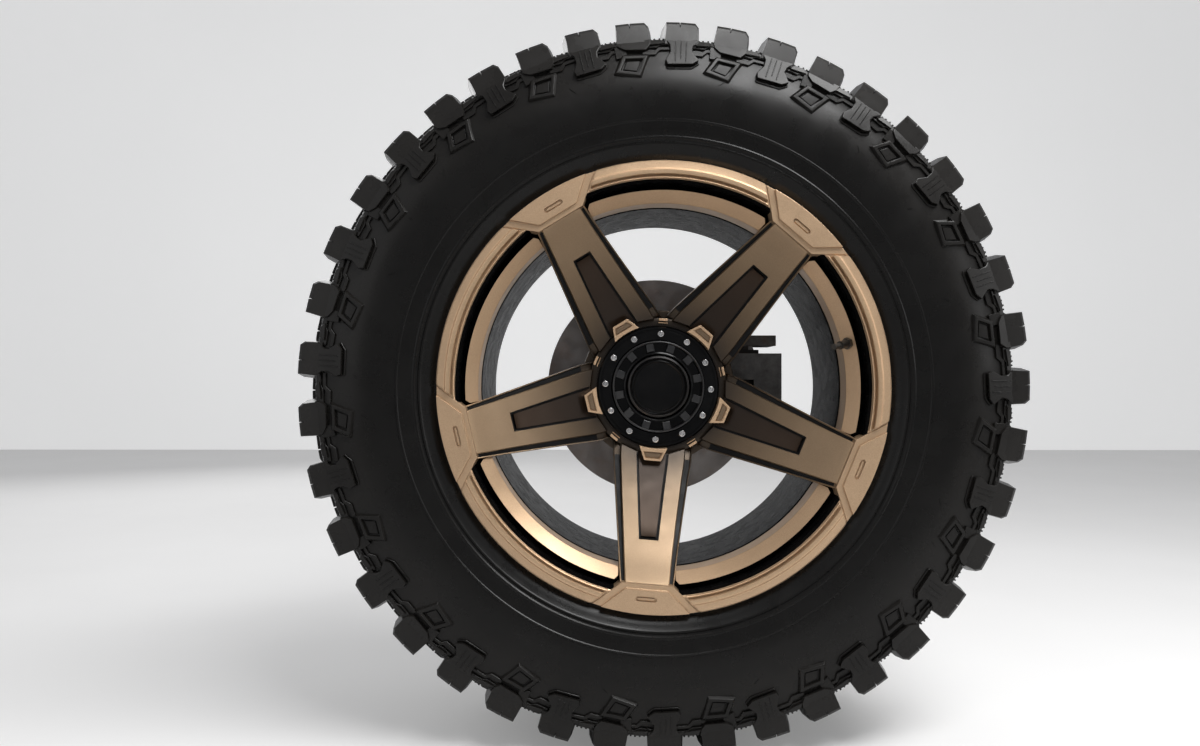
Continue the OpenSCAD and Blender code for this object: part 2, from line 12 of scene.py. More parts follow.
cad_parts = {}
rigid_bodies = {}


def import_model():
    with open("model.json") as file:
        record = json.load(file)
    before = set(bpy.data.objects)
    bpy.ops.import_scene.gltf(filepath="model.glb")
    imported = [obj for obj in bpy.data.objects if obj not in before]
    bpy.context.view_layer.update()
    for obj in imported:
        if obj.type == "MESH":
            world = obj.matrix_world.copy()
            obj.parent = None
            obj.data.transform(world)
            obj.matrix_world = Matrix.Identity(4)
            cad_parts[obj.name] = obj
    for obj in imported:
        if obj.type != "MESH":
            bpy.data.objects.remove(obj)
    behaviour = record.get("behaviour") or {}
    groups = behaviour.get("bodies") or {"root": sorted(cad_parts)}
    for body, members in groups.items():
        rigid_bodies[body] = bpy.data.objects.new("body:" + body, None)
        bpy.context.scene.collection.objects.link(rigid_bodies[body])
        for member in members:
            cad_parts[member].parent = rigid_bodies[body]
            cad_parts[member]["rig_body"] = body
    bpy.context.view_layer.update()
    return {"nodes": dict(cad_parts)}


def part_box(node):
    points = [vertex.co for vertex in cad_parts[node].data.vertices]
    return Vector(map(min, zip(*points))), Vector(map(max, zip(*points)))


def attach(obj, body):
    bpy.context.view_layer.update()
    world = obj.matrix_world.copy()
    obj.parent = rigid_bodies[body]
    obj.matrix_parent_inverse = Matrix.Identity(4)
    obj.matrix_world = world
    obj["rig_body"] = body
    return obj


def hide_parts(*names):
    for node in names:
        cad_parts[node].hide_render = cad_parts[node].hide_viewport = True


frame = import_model()

MM = 0.001
# Merge distances: the first two in millimetres, the last in metres
WELD = 0.002
SPIN_WELD = 0.01
NODE_WELD = 1e-6
FACE_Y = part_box("brake_disc")[0].y
TYRE_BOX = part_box("tyre")
TYRE_R = TYRE_BOX[1].z / MM
MID_Z = (FACE_Y - (TYRE_BOX[0].y + TYRE_BOX[1].y) / 2) / MM
FLOOR_Z = TYRE_BOX[0].z
SPOKE_TURN = 40.7
SPOKES = 5
SPOKE_STEP = 360 / SPOKES
HALF_STEP = SPOKE_STEP / 2
ON_AXLE = Matrix.Translation((0, FACE_Y, 0)) @ Matrix.Rotation(math.radians(90), 4, "X")


# ------------------------------------------------------------ modelling steps

def alone(obj):
    """Selects one object and nothing else."""
    bpy.ops.object.select_all(action="DESELECT")
    obj.select_set(True)
    bpy.context.view_layer.objects.active = obj


def edit(obj, mode="FACE"):
    alone(obj)
    bpy.ops.object.mode_set(mode="EDIT")
    bpy.ops.mesh.select_mode(type=mode)


def leave_edit():
    bpy.ops.object.mode_set(mode="OBJECT")


def pick(obj, test):
    """In edit mode, selects the faces that pass a test."""
    mesh = bmesh.from_edit_mesh(obj.data)
    for face in mesh.faces:
        face.select_set(False)
    for face in mesh.faces:
        if test(face):
            face.select_set(True)
    mesh.select_flush_mode()
    bmesh.update_edit_mesh(obj.data)


def tidy_shell(obj):
    """Merges doubles and turns every face outwards."""
    edit(obj)
    bpy.ops.mesh.select_all(action="SELECT")
    bpy.ops.mesh.remove_doubles(threshold=WELD)
    bpy.ops.mesh.select_all(action="SELECT")
    bpy.ops.mesh.normals_make_consistent(inside=False)
    leave_edit()


def ring_of_points(name, points, filled):
    """A circle whose points are moved onto an outline in space."""
    fill = "NGON" if filled else "NOTHING"
    bpy.ops.mesh.primitive_circle_add(vertices=len(points), fill_type=fill)
    obj = bpy.context.object
    obj.name = name
    obj.data.name = name
    for vertex, point in zip(obj.data.vertices, points):
        vertex.co = point
    return obj


def loft(name, sections):
    """A closed skin through sections of equal length, capped at both ends."""
    obj = ring_of_points(name, sections[0], True)
    edit(obj)
    bpy.ops.mesh.select_all(action="SELECT")
    for before, after in zip(sections, sections[1:]):
        bpy.ops.mesh.extrude_region_move()
        mesh = bmesh.from_edit_mesh(obj.data)
        old = [Vector(point) for point in before]
        for vertex in [v for v in mesh.verts if v.select]:
            near = min(range(len(old)), key=lambda k: (old[k] - vertex.co).length_squared)
            vertex.co = after[near]
        bmesh.update_edit_mesh(obj.data)
    leave_edit()
    tidy_shell(obj)
    return obj


def plate(name, outline, low, high):
    """A flat outline raised from one height to another."""
    return loft(name, [[(x, y, low) for x, y in outline], [(x, y, high) for x, y in outline]])


def lathe(name, profile, steps):
    """A closed outline of radius and height, spun about the axle."""
    obj = ring_of_points(name, [(r, 0, z) for r, z in profile], False)
    edit(obj, "VERT")
    bpy.ops.mesh.select_all(action="SELECT")
    bpy.ops.mesh.spin(steps=steps, angle=math.tau, center=(0, 0, 0), axis=(0, 0, 1))
    bpy.ops.mesh.select_all(action="SELECT")
    bpy.ops.mesh.remove_doubles(threshold=SPIN_WELD)
    bpy.ops.mesh.delete_loose()
    leave_edit()
    tidy_shell(obj)
    return obj


def bevelled(obj, width, segments=2, angle=30):
    """Rounds the edges that turn more than an angle."""
    alone(obj)
    bevel = obj.modifiers.new("edges", "BEVEL")
    bevel.width = width
    bevel.segments = segments
    bevel.limit_method = "ANGLE"
    bevel.angle_limit = math.radians(angle)
    bpy.ops.object.modifier_apply(modifier=bevel.name)
    return obj


def cut(obj, tool):
    """Cuts a tool's shape out of a piece."""
    alone(obj)
    boolean = obj.modifiers.new("cut", "BOOLEAN")
    boolean.operation = "DIFFERENCE"
    boolean.solver = "EXACT"
    boolean.object = tool
    bpy.ops.object.modifier_apply(modifier=boolean.name)
    bpy.data.objects.remove(tool)
    return obj


def copied(obj, matrix):
    """A copy with its own mesh, moved by a matrix."""
    other = obj.copy()
    other.data = obj.data.copy()
    bpy.context.collection.objects.link(other)
    other.data.transform(matrix)
    if matrix.determinant() < 0:
        other.data.flip_normals()
    return other


def joined(name, parts):
    """Joins finished parts into one piece."""
    bpy.ops.object.select_all(action="DESELECT")
    for part in parts:
        part.select_set(True)
    bpy.context.view_layer.objects.active = parts[0]
    bpy.ops.object.join()
    parts[0].name = name
    parts[0].data.name = name
    return parts[0]


def clockwise(degrees):
    return Matrix.Rotation(-math.radians(degrees), 4, "Z")


def set_around(obj, turns):
    """Copies of a part around the wheel, joined; the model part goes."""
    parts = [copied(obj, clockwise(turn)) for turn in turns]
    name = obj.name
    bpy.data.objects.remove(obj)
    return joined(name, parts)


def spoke_turns(shift=0.0):
    return [SPOKE_TURN + shift + k * SPOKE_STEP for k in range(SPOKES)]


def finished(obj, material, body, nodes, smooth=32, on_axle=True):
    """Seats a piece, shades it, gives it its finish and hangs it on its body."""
    alone(obj)
    if on_axle:
        obj.matrix_world = ON_AXLE @ Matrix.Scale(MM, 4)
        bpy.ops.object.transform_apply(location=True, rotation=True, scale=True)
    bpy.ops.object.shade_smooth_by_angle(angle=math.radians(smooth))
    weighted = obj.modifiers.new("flat faces", "WEIGHTED_NORMAL")
    weighted.keep_sharp = True
    bpy.ops.object.modifier_apply(modifier=weighted.name)
    obj.data.materials.clear()
    obj.data.materials.append(material)
    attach(obj, body)
    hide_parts(*nodes)


def dressed(node, width, finish):
    """A copy of a CAD node with merged faces and rounded edges, in its finish."""
    source = frame["nodes"][node]
    obj = source.copy()
    obj.data = source.data.copy()
    obj.parent = None
    for key in list(obj.keys()):
        del obj[key]
    bpy.context.collection.objects.link(obj)
    obj.hide_render = False
    obj.hide_viewport = False
    obj.name = node + "_piece"
    obj.data.name = node + "_piece"
    edit(obj)
    bpy.ops.mesh.select_all(action="SELECT")
    bpy.ops.mesh.remove_doubles(threshold=NODE_WELD)
    bpy.ops.mesh.dissolve_limited(angle_limit=math.radians(1))
    leave_edit()
    bevelled(obj, width * MM)
    finished(obj, FINISH[finish], source["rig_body"], (node,), on_axle=False)


# ------------------------------------------------------------------ finishes

class Finish:
    """A procedural material put together from a few layers on Object coordinates."""

    def __init__(self, name, metallic, roughness, coat=0.0, coat_roughness=0.1, specular=0.5):
        self.material = bpy.data.materials.new(name)
        self.material.use_nodes = True
        self.nodes = self.material.node_tree.nodes
        self.links = self.material.node_tree.links
        self.shader = self.nodes["Principled BSDF"]
        self.shader.inputs["Metallic"].default_value = metallic
        self.shader.inputs["Roughness"].default_value = roughness
        self.shader.inputs["Coat Weight"].default_value = coat
        self.shader.inputs["Coat Roughness"].default_value = coat_roughness
        self.shader.inputs["Specular IOR Level"].default_value = specular
        self.place = self.nodes.new("ShaderNodeTexCoord").outputs["Object"]
        self.height = None

    def noise(self, scale, detail, rough=0.6):
        node = self.nodes.new("ShaderNodeTexNoise")
        node.inputs["Scale"].default_value = scale
        node.inputs["Detail"].default_value = detail
        node.inputs["Roughness"].default_value = rough
        self.links.new(self.place, node.inputs["Vector"])
        return node.outputs["Fac"]

    def grains(self, scale):
        node = self.nodes.new("ShaderNodeTexVoronoi")
        node.inputs["Scale"].default_value = scale
        self.links.new(self.place, node.inputs["Vector"])
        return node.outputs["Distance"]

    def radius(self):
        """Distance from the axle line, in metres."""
        split = self.nodes.new("ShaderNodeSeparateXYZ")
        self.links.new(self.place, split.inputs[0])
        flat = self.nodes.new("ShaderNodeCombineXYZ")
        self.links.new(split.outputs["X"], flat.inputs["X"])
        self.links.new(split.outputs["Z"], flat.inputs["Z"])
        length = self.nodes.new("ShaderNodeVectorMath")
        length.operation = "LENGTH"
        self.links.new(flat.outputs[0], length.inputs[0])
        return length.outputs["Value"]

    def turned(self, pitch):
        """Fine circular tool marks around the axle."""
        times = self.nodes.new("ShaderNodeMath")
        times.operation = "MULTIPLY"
        times.inputs[1].default_value = math.tau / pitch
        self.links.new(self.radius(), times.inputs[0])
        wave = self.nodes.new("ShaderNodeMath")
        wave.operation = "SINE"
        self.links.new(times.outputs[0], wave.inputs[0])
        return self.spread(wave.outputs[0], -1, 1, 0, 1)

    def spread(self, value, low, high, to_low, to_high):
        node = self.nodes.new("ShaderNodeMapRange")
        node.inputs["From Min"].default_value = low
        node.inputs["From Max"].default_value = high
        node.inputs["To Min"].default_value = to_low
        node.inputs["To Max"].default_value = to_high
        self.links.new(value, node.inputs["Value"])
        return node.outputs["Result"]

    def colour(self, factor, stops):
        """A ramp of colours over a factor."""
        node = self.nodes.new("ShaderNodeValToRGB")
        ramp = node.color_ramp
        while len(ramp.elements) < len(stops):
            ramp.elements.new(0.5)
        for element, (position, rgb) in zip(ramp.elements, stops):
            element.position = position
            element.color = (*rgb, 1)
        self.links.new(factor, node.inputs["Fac"])
        return node.outputs["Color"]

    def mixed(self, factor, first, second, blend="MIX"):
        node = self.nodes.new("ShaderNodeMix")
        node.data_type = "RGBA"
        node.blend_type = blend
        if isinstance(factor, float):
            node.inputs["Factor"].default_value = factor
        else:
            self.links.new(factor, node.inputs["Factor"])
        self.links.new(first, node.inputs[6])
        self.links.new(second, node.inputs[7])
        return node.outputs[2]

    def base(self, colour):
        self.links.new(colour, self.shader.inputs["Base Color"])

    def rough(self, value, low, high):
        self.links.new(self.spread(value, 0.3, 0.7, low, high), self.shader.inputs["Roughness"])

    def bump(self, value, strength, distance):
        node = self.nodes.new("ShaderNodeBump")
        node.inputs["Strength"].default_value = strength
        node.inputs["Distance"].default_value = distance
        self.links.new(value, node.inputs["Height"])
        if self.height is not None:
            self.links.new(self.height, node.inputs["Normal"])
        self.height = node.outputs["Normal"]
        self.links.new(self.height, self.shader.inputs["Normal"])


def rubber():
    """Dressed tyre rubber: near black, satin, with mould grain and a little road dust."""
    f = Finish("tyre_rubber", 0.0, 0.33, specular=0.2)
    mottle = f.colour(f.noise(9, 5), [(0.3, (0.0095, 0.0088, 0.008)), (0.62, (0.014, 0.013, 0.0118)),
                                      (0.85, (0.021, 0.0195, 0.0178))])
    dust = f.colour(f.noise(70, 6, 0.7), [(0.45, (0.5, 0.5, 0.5)), (0.8, (0.58, 0.57, 0.55))])
    # Painted shade: the sidewall darkens towards the rim under the lip; lightest on the tread
    shade_towards_rim = f.colour(f.spread(f.radius(), 0.28, 0.483, 0, 1),
                    [(0.0, (0.3, 0.3, 0.3)), (0.5, (0.36, 0.36, 0.36)), (0.62, (0.62, 0.61, 0.6)),
                     (0.78, (0.7, 0.69, 0.68)), (0.9, (1, 1, 1))])
    f.base(f.mixed(1.0, f.mixed(0.35, mottle, dust, "OVERLAY"), shade_towards_rim, "MULTIPLY"))
    f.rough(f.noise(26, 5), 0.22, 0.35)
    f.bump(f.noise(900, 3), 0.1, 0.0004)
    f.bump(f.noise(55, 3), 0.06, 0.0012)
    return f.material


def bronze(name, light_and_shade_stops, gain=1.0, coat=0.12):
    """Satin metallic paint with fine flake and orange peel; the stops, by distance from the
    axle, paint light and shade: shade darkening towards the hub, and on the lip highlight lines and shaded
    bands."""
    f = Finish(name, 0.62, 0.38, coat=coat, coat_roughness=0.3)
    dark = [0.45 * gain, 0.3 * gain, 0.181 * gain]
    light = [0.57 * gain, 0.396 * gain, 0.248 * gain]
    flake = f.colour(f.noise(1400, 2, 0.5), [(0.35, dark), (0.65, light)])
    # Painted light by distance from the axle: shade darkening towards the hub, and on the lip highlight
    # lines and shaded bands
    painted_light_by_radius = f.colour(f.spread(f.radius(), 0.0, 0.30, 0, 1), light_and_shade_stops)
    cloud = f.colour(f.noise(11, 3), [(0.35, (0.93, 0.93, 0.93)), (0.7, (1.0, 1.0, 1.0))])
    f.base(f.mixed(1.0, f.mixed(1.0, flake, painted_light_by_radius, "MULTIPLY"), cloud, "MULTIPLY"))
    f.rough(f.noise(38, 4), 0.32, 0.42)
    f.bump(f.noise(420, 2), 0.05, 0.0003)
    return f.material


def gloss_black(name, roughness, specular, lift=1.0, ripple=0.04, ior=1.5):
    """Gloss black paint with a faint ripple and dust."""
    f = Finish(name, 0.0, roughness, specular=specular)
    f.shader.inputs["IOR"].default_value = ior
    deep = [0.0018 * lift, 0.0018 * lift, 0.002 * lift]
    dusty = [0.005 * lift, 0.0048 * lift, 0.0046 * lift]
    f.base(f.colour(f.noise(30, 5), [(0.4, deep), (0.75, dusty)]))
    f.rough(f.noise(60, 5), roughness * 0.85, roughness * 1.4)
    f.bump(f.noise(240, 2), ripple, 0.0003)
    return f.material


def metal(name, dark, light, roughness, grain=500, pits=0.1):
    """Bare or plated metal with mottled colour and fine grain."""
    f = Finish(name, 1.0, roughness)
    f.base(f.colour(f.noise(45, 6, 0.65), [(0.3, dark), (0.7, light)]))
    f.rough(f.noise(90, 5), roughness * 0.8, min(1.0, roughness * 1.3))
    f.bump(f.noise(grain, 4), pits, 0.0005)
    return f.material


def cast(name, dark, light, rust):
    """Sand-cast iron: grainy, with a little surface rust in the low places."""
    f = Finish(name, 0.45, 0.62)
    iron = f.colour(f.noise(60, 6, 0.7), [(0.3, dark), (0.7, light)])
    stain = f.colour(f.noise(22, 6, 0.75), [(0.0, rust), (1.0, rust)])
    f.base(f.mixed(f.spread(f.noise(17, 7, 0.7), 0.52, 0.72, 0, 0.75), iron, stain))
    f.rough(f.noise(80, 5), 0.5, 0.78)
    f.bump(f.noise(420, 5, 0.7), 0.35, 0.0008)
    return f.material


def disc_iron():
    """Turned brake iron: circular tool marks and a bloom of rust."""
    f = Finish("disc_iron", 0.85, 0.38)
    iron = f.colour(f.turned(0.0011), [(0.0, (0.22, 0.205, 0.195)), (1.0, (0.33, 0.31, 0.295))])
    stain = f.colour(f.noise(30, 6, 0.7), [(0.4, (0.16, 0.085, 0.05)), (0.7, (0.24, 0.13, 0.08))])
    f.base(f.mixed(f.spread(f.noise(14, 6, 0.7), 0.48, 0.7, 0.05, 0.5), iron, stain))
    f.rough(f.noise(40, 4), 0.3, 0.5)
    f.bump(f.turned(0.0011), 0.25, 0.0002)
    f.bump(f.noise(600, 3), 0.08, 0.0003)
    return f.material


def chassis_paint(name, dark=0.022, light=0.045):
    """Satin black chassis paint over rough forgings, chipped and dusty in places."""
    f = Finish(name, 0.0, 0.45)
    black = f.colour(f.noise(40, 5), [(0.35, (dark,) * 3), (0.7, (light,) * 3)])
    dust = f.colour(f.noise(16, 6, 0.7), [(0.4, (0.05, 0.045, 0.04)), (0.8, (0.09, 0.08, 0.068))])
    f.base(f.mixed(f.spread(f.noise(21, 7, 0.72), 0.5, 0.75, 0, 0.6), black, dust))
    f.rough(f.noise(50, 5), 0.34, 0.62)
    f.bump(f.noise(300, 4, 0.6), 0.16, 0.0006)
    return f.material


def lining():
    """Pressed brake lining with metal fibres."""
    f = Finish("pad_lining", 0.1, 0.8)
    f.base(f.colour(f.grains(900), [(0.1, (0.03, 0.028, 0.026)), (0.5, (0.07, 0.062, 0.056))]))
    f.bump(f.grains(900), 0.3, 0.0005)
    return f.material


FINISH = {
    "tyre": rubber(),
    # Faint painted shade towards the hub in these stops
    "bronze_paint": bronze("bronze_paint", [(0.0, (0.9, 0.9, 0.88)), (1.0, (1.0, 1.0, 1.0))]),
    # A lighter copy of the bronze: painted highlight on the raised tabs and bars round the cap
    "tab_highlight_bronze": bronze("tab_highlight_bronze", [(0.0, (0.95, 0.95, 0.95)), (1.0, (1.0, 1.0, 1.0))], 1.3),
    # A lighter copy of the bronze for the lit lip: painted highlight lines on the inner rim and the ridge,
    # and painted shade in the groove
    "lip_light_and_shade_bronze": bronze("lip_light_and_shade_bronze", [(0.0, (0.8, 0.8, 0.8)), (0.912, (0.95, 0.95, 0.95)),
                                        (0.922, (0.66, 0.66, 0.65)), (0.944, (0.74, 0.74, 0.73)),
                                        (0.948, (1.0, 1.0, 1.0)), (0.954, (1.0, 1.0, 1.0)),
                                        (0.959, (0.74, 0.74, 0.74)), (1.0, (0.7, 0.7, 0.7))], 1.4),
    # Spokes and hub: painted shade, darkening to near black at the hub
    "spoke_shade_bronze": bronze("spoke_shade_bronze", [(0.3, (0.03, 0.028, 0.025)), (0.345, (0.075, 0.072, 0.065)),
                                            (0.48, (0.21, 0.205, 0.185)), (0.68, (0.38, 0.375, 0.35)),
                                            (0.84, (0.52, 0.52, 0.5)), (0.9, (0.76, 0.76, 0.74))]),
    # Pocket floors: painted shade, darker still towards the hub
    "pocket_shade_bronze": bronze("pocket_shade_bronze", [(0.3, (0.022, 0.018, 0.015)), (0.7, (0.062, 0.05, 0.042))],
                            1.0, 0.0),
    # Faint painted shade towards the hub in its stops
    "insert_bronze": bronze("insert_bronze", [(0.0, (0.9, 0.9, 0.9)), (1.0, (1.0, 1.0, 1.0))], 0.42),
    # Black sheets that paint the shade in the pockets and grooves of the spokes
    "pocket_shade_black": gloss_black("pocket_shade_black", 0.4, 0.15, 2.0),
    "barrel_black": gloss_black("barrel_black", 0.24, 0.3, 1.0, 0.004, 1.12),
    "cap_black": gloss_black("cap_black", 0.13, 0.16),
    # Lighter black: the teeth's grey, and painted highlight on the raised rim ring and the dome's collar
    "cap_grey_and_highlight": gloss_black("cap_grey_and_highlight", 0.3, 0.5, 5.0),
    "bright_steel": metal("bright_steel", (0.5, 0.5, 0.5), (0.74, 0.73, 0.72), 0.24),
    "valve_metal": metal("valve_metal", (0.05, 0.048, 0.045), (0.11, 0.1, 0.09), 0.4),
    "dark_steel": metal("dark_steel", (0.13, 0.125, 0.12), (0.25, 0.245, 0.235), 0.42),
    "forged_steel": metal("forged_steel", (0.07, 0.06, 0.052), (0.16, 0.145, 0.13), 0.5, 300, 0.2),
    "joint_steel": metal("joint_steel", (0.12, 0.12, 0.12), (0.24, 0.235, 0.22), 0.4),
    "disc_iron": disc_iron(),
    "chassis_black": chassis_paint("chassis_black"),
    "shield_steel": chassis_paint("shield_steel", 0.035, 0.07),
    "bracket_iron": cast("bracket_iron", (0.09, 0.082, 0.075), (0.17, 0.158, 0.145),
                         (0.13, 0.065, 0.035)),
    "caliper_iron": cast("caliper_iron", (0.13, 0.125, 0.12), (0.23, 0.225, 0.215), (0.16, 0.09, 0.05)),
    "pad_lining": lining(),
}


# ---------------------------------------------------------------------- tyre

# Outer skin of one half: radius, distance from the tyre's middle plane
WALL = [(283, 150), (299, 151.8), (302, 153), (306, 156.4), (312, 160), (316.5, 162.2), (318, 163.8),
        (320, 164.2), (321.5, 163.2), (323.5, 163.9), (325, 165.6), (327, 165.8), (328.5, 165),
        (336, 167.2), (346, 168.6), (347, 169.6), (349, 169.7), (350, 168.9), (360, 170.2),
        (372, 171.1), (384, 170.7), (395, 169.8), (405, 168), (415, 165.5), (424, 162.8), (432, 160),
        (440, 158.4), (449, 156.6), (455.5, 153.6), (458.5, 149.5), (460, 143), (461.5, 128),
        (463.5, 100), (465.5, 55), (466.6, 0)]
BORE = [(279.9, 147), (279.9, 131), (307, 138), (337, 152), (373, 156), (406, 150), (436, 138),
        (448, 113), (449, 0)]

# Furthest that a raised shape stands from the middle plane, how deep its foot is sunk in the
# wall, and the radius past which it no longer follows the wall inwards
SIDE_LIMIT = 171.3
SUNK = 4.0
SHOULDER_R = 456

# A pair is a long and a short lug; turns in degrees clockwise from up
LUG_PAIRS = 20
LUG_PITCH = 360 / (2 * LUG_PAIRS)
FIRST_LUG = 12
INBOARD_SHIFT = 4.5
HOOK_SHIFT = 1.5

# The slow waves of the pitch: size, how many round the tyre, and phase in radians
PITCH_SHIFT = 1.1
PITCH_WAVES = ((2.86, 1, -0.66), (1.9, 2, 0.13))


def wall(radius):
    """Distance of the outer skin from the middle plane at a radius."""
    for (r0, h0), (r1, h1) in zip(WALL, WALL[1:]):
        if r0 <= radius <= r1:
            return h0 + (h1 - h0) * (radius - r0) / (r1 - r0)
    return WALL[0][1]


def carcass():
    outer = WALL + [(r, -h) for r, h in reversed(WALL[:-1])]
    bore = [(r, -h) for r, h in BORE] + [(r, h) for r, h in reversed(BORE[:-1])]
    return lathe("tyre", outer + bore, 300)


def on_wall(name, outline, rise, foot=0.0):
    """A raised shape on the sidewall; its outline is tangent and radius. A foot makes its
    base wider than its top, so that its sides slope."""
    mid_x = sum(x for x, r in outline) / len(outline)
    mid_r = sum(r for x, r in outline) / len(outline)
    low = []
    for x, r in outline:
        away = math.hypot(x - mid_x, r - mid_r)
        grow = 1 + foot / away
        x_low, r_low = mid_x + (x - mid_x) * grow, mid_r + (r - mid_r) * grow
        low.append((x_low, r_low, wall(min(r_low, SHOULDER_R)) - SUNK))
    high = [(x, r, min(wall(min(r, SHOULDER_R)) + rise, SIDE_LIMIT)) for x, r in outline]
    return loft(name, [low, high])


def tread_block(name, outline, low, high):
    """A block of the tread; its outline is tangent and distance from the middle plane."""
    def at(u, r, h):
        turn = u / TYRE_R
        return (r * math.sin(turn), r * math.cos(turn), h)
    return loft(name, [[at(u, low, h) for u, h in outline], [at(u, high, h) for u, h in outline]])


def shoulder_lug(name, lean):
    """The outer lug: tall face, cut corner, sipe across the crown and a slanted heel."""
    sipe_near, sipe_far = -3.5, -2.5
    sipe_floor, crown, heel_r = TYRE_R - 5, TYRE_R - 0.8, 472
    face = [(-23, 449), (-22, 470), (-21.5, TYRE_R - 1.3), (sipe_near, crown), (sipe_near, sipe_floor),
            (sipe_far, sipe_floor), (sipe_far, crown), (17, TYRE_R - 1.4), (22, 475), (23, 449)]

    def section(h, shift, drop, narrow, heel=0.0):
        points = []
        for x, r in face:
            if r > heel_r:
                points.append((x * narrow + shift, r - drop, h))
            else:
                points.append((x * narrow + shift, r, h + heel))
        return points
    lug = loft(name, [section(155.5, 0, 4.2, 0.96, 5.5), section(151.5, 0, 0, 1.0, 2.0),
                      section(126, lean * 0.5, 0, 0.98), section(100, lean, 0.2, 0.82)])
    return bevelled(lug, 0.8, 2, 40)


def lug_a():
    """Long lug: a ribbed neck that flares to a ledge on the sidewall."""
    block = shoulder_lug("lug", -9)
    waist = [(-23, 456), (-16, 447), (-15, 438), (-21, 426), (-18, 419), (15, 421), (23, 427), (14, 439),
             (15, 446), (23, 456)]
    parts = [block, bevelled(on_wall("neck", waist, 7.0), 1.3, 2)]
    for x, start in ((-8, 424), (-1, 428), (6, 425)):
        strip = [(x - 0.7, start), (x - 0.7, 452), (x + 0.7, 452), (x + 0.7, start)]
        parts.append(bevelled(on_wall("neck_rib", strip, 8.0), 0.4, 1))
    step = [(-20, 417), (-17, 414.5), (14, 416), (24, 423.5), (23, 426), (14, 419), (-17, 417)]
    parts.append(bevelled(on_wall("foot", step, 1.8), 0.6, 1))
    return joined("lug_a", parts)


def biter(cx, cr):
    """Side biter: a skewed plate with sloping sides and a sunken, framed panel."""
    outline = [(cx - 22, cr - 9), (cx - 11, cr + 14), (cx + 21, cr + 12), (cx + 9, cr - 15)]
    frame_plate = on_wall("biter", outline, 6.0, 7.0)
    edit(frame_plate)
    pick(frame_plate, lambda face: face.normal.z > 0.8 and face.calc_center_median().z > wall(cr) + 3)
    bpy.ops.mesh.inset(thickness=4.2, depth=0)
    bpy.ops.mesh.inset(thickness=0.5, depth=-4.6)
    bpy.ops.mesh.inset(thickness=1.8, depth=0)
    bpy.ops.mesh.inset(thickness=0.5, depth=2.0)
    leave_edit()
    return bevelled(frame_plate, 0.7, 2)


def lug_b():
    """Short lug over a side biter."""
    block = shoulder_lug("lug", 9)
    skirt = [(-23, 456), (-20, 448), (-12, 443), (15, 441), (21, 448), (23, 456)]
    apron = bevelled(on_wall("apron", skirt, 6.5, 3.0), 0.8, 2)
    link = bevelled(on_wall("link", [(-24, 432), (-26, 449), (-11, 449), (-9, 434)], 3.4), 0.6, 1)
    return joined("lug_b", [block, apron, link, biter(-4, 421)])


def ejectors():
    """Low posts in the gap between two lugs, and the raised steps under them."""
    parts = []
    for u, r, deep in ((-9, 456.5, 150), (-3.5, 459, 146), (3, 457.5, 151), (8.5, 458.5, 147)):
        foot, top = r - 6, r + 3
        outline = [(u - 1.3, foot), (u + 1.3, foot), (u + 1.1, top), (u - 1.1, top)]
        post = plate("ejector", outline, 134, deep)
        parts.append(bevelled(post, 0.3, 1))
    shelf = [(-19, 445), (-19, 455), (19, 455), (19, 448.5), (4, 448.5), (-1, 445)]
    parts.append(bevelled(on_wall("band", shelf, 3.0, 1.5), 0.5, 1))
    stair = [(-20, 435), (-20, 440), (-5, 440), (1, 445.5), (21, 445.5), (21, 441.5), (3, 441.5), (-3, 435)]
    parts.append(bevelled(on_wall("step", stair, 2.8), 0.5, 1))
    slope = [(-13, 448), (-10, 455), (4, 456), (9, 450)]
    parts.append(bevelled(on_wall("facet", slope, 5.5, 2.5), 0.5, 1))
    return joined("ejectors", parts)


def mould_marks():
    """Fine radial ticks over the bead and thin vent whiskers lying on the sidewall."""
    parts = []
    ticks, tick_half, tick_start = 48, 0.4, 328.5
    for k in range(ticks):
        end = 334 + 4 * (k % 3)
        line = [(-tick_half, tick_start), (-tick_half, end), (tick_half, end), (tick_half, tick_start)]
        tick = on_wall("tick", line, 0.45)
        parts.append(copied(tick, clockwise(7.5 * k + 1.5 * math.sin(5 * k))))
        bpy.data.objects.remove(tick)
    whiskers, hair_half = 26, 0.3
    for k in range(whiskers):
        r = 389 + 12 * math.sin(2.3 * k)
        slant = 3.5 * math.sin(1.7 * k)
        length = 6 + 3 * math.sin(3.1 * k)
        strand = [(-slant - hair_half, r), (slant - hair_half, r + length), (slant + hair_half, r + length),
                  (-slant + hair_half, r)]
        hair = on_wall("hair", strand, 0.8)
        parts.append(copied(hair, clockwise(13.8 * k + 4 * math.sin(4 * k))))
        bpy.data.objects.remove(hair)
    return joined("mould_marks", parts)


def crown_blocks():
    """Interlocking blocks of the middle of the tread, for half of one pitch."""
    hooked = [(-31, 5), (-34, 22), (-15, 26), (-12, 45), (14, 50), (25, 30), (8, 27), (8, 25.4), (26, 28),
              (33, 20), (29, 6), (4, 4), (3, 14), (1.4, 14), (2.4, 4)]
    stepped = [(-24, 58), (-28, 76), (-15, 92), (-3, 92), (-4, 80), (-2.4, 80), (-1.4, 92), (19, 90),
               (25, 75), (15, 56)]
    hook = tread_block("hook", hooked, 460, 480.9)
    step = tread_block("step", stepped, 458, 480.6)
    return [bevelled(hook, 1.3, 1, 40), bevelled(step, 1.3, 1, 40)]


def pitch_turn(place):
    """Turn of a lug: the pitch varies a little round the tyre."""
    turn = FIRST_LUG + LUG_PITCH * place
    moved = turn - PITCH_SHIFT
    for size, times, phase in PITCH_WAVES:
        moved -= size * math.sin(times * math.radians(turn) + phase)
    return moved


